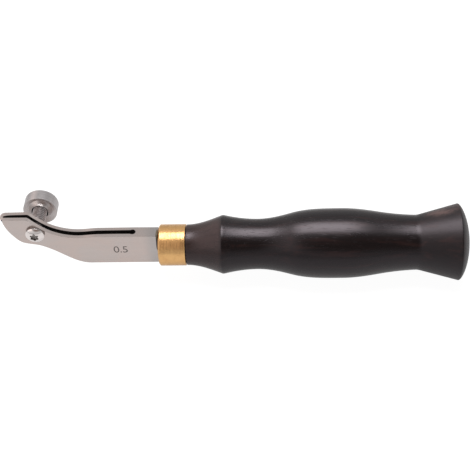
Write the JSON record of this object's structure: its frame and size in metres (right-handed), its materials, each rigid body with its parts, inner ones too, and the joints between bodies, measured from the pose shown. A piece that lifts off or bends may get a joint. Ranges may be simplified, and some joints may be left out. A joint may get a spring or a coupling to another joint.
{
  "type": "leather creaser",
  "caption": "Screw-adjusted leather creaser: slit steel blade with a spring jaw set by a thumb knob and stud, domed retaining screw, brass ferrule and turned dark wooden handle.",
  "frame": {"origin": "on the tool's lengthwise middle, below its axis, at the height of the butt rim's lowest point", "axes": "+X from the blade's tip to the handle's butt along the handle's axis, +Z towards the blade's upper edge, +Y towards the thumb knob"},
  "size_m": [0.1538, 0.0262, 0.027],
  "materials": {
    "dark_wood": "near-black turned wood with faint brown streaks, polished to a soft sheen",
    "yellow_brass": "polished turned brass",
    "satin_steel": "satin steel with fine lengthwise brushing",
    "turned_steel": "satin turned steel",
    "screw_steel": "bright steel"
  },
  "bodies": {
    "tool": {"handle": "dark_wood", "ferrule": "yellow_brass", "fixed_jaw": "satin_steel"},
    "spring_leg": {"spring_jaw": "satin_steel"},
    "adjuster": {"adjuster_knob": "turned_steel", "adjuster_stud": "turned_steel", "retaining_screw": "screw_steel"}
  },
  "joints": [
    {"name": "knob_turn", "type": "hinge", "parent": "tool", "child": "adjuster", "pos_m": [-0.06595, 0, 0.02082], "axis": [0, -1, 0], "range_deg": [0, 1440]},
    {"name": "jaw_flex", "type": "hinge", "parent": "tool", "child": "spring_leg", "pos_m": [-0.034, 0.00214, 0.0127], "axis": [0, 0, -1], "range_deg": [0, 5.8]}
  ],
  "couplings": [
    {"joint": "jaw_flex", "follows": "knob_turn", "ratio": 0.003985}
  ]
}
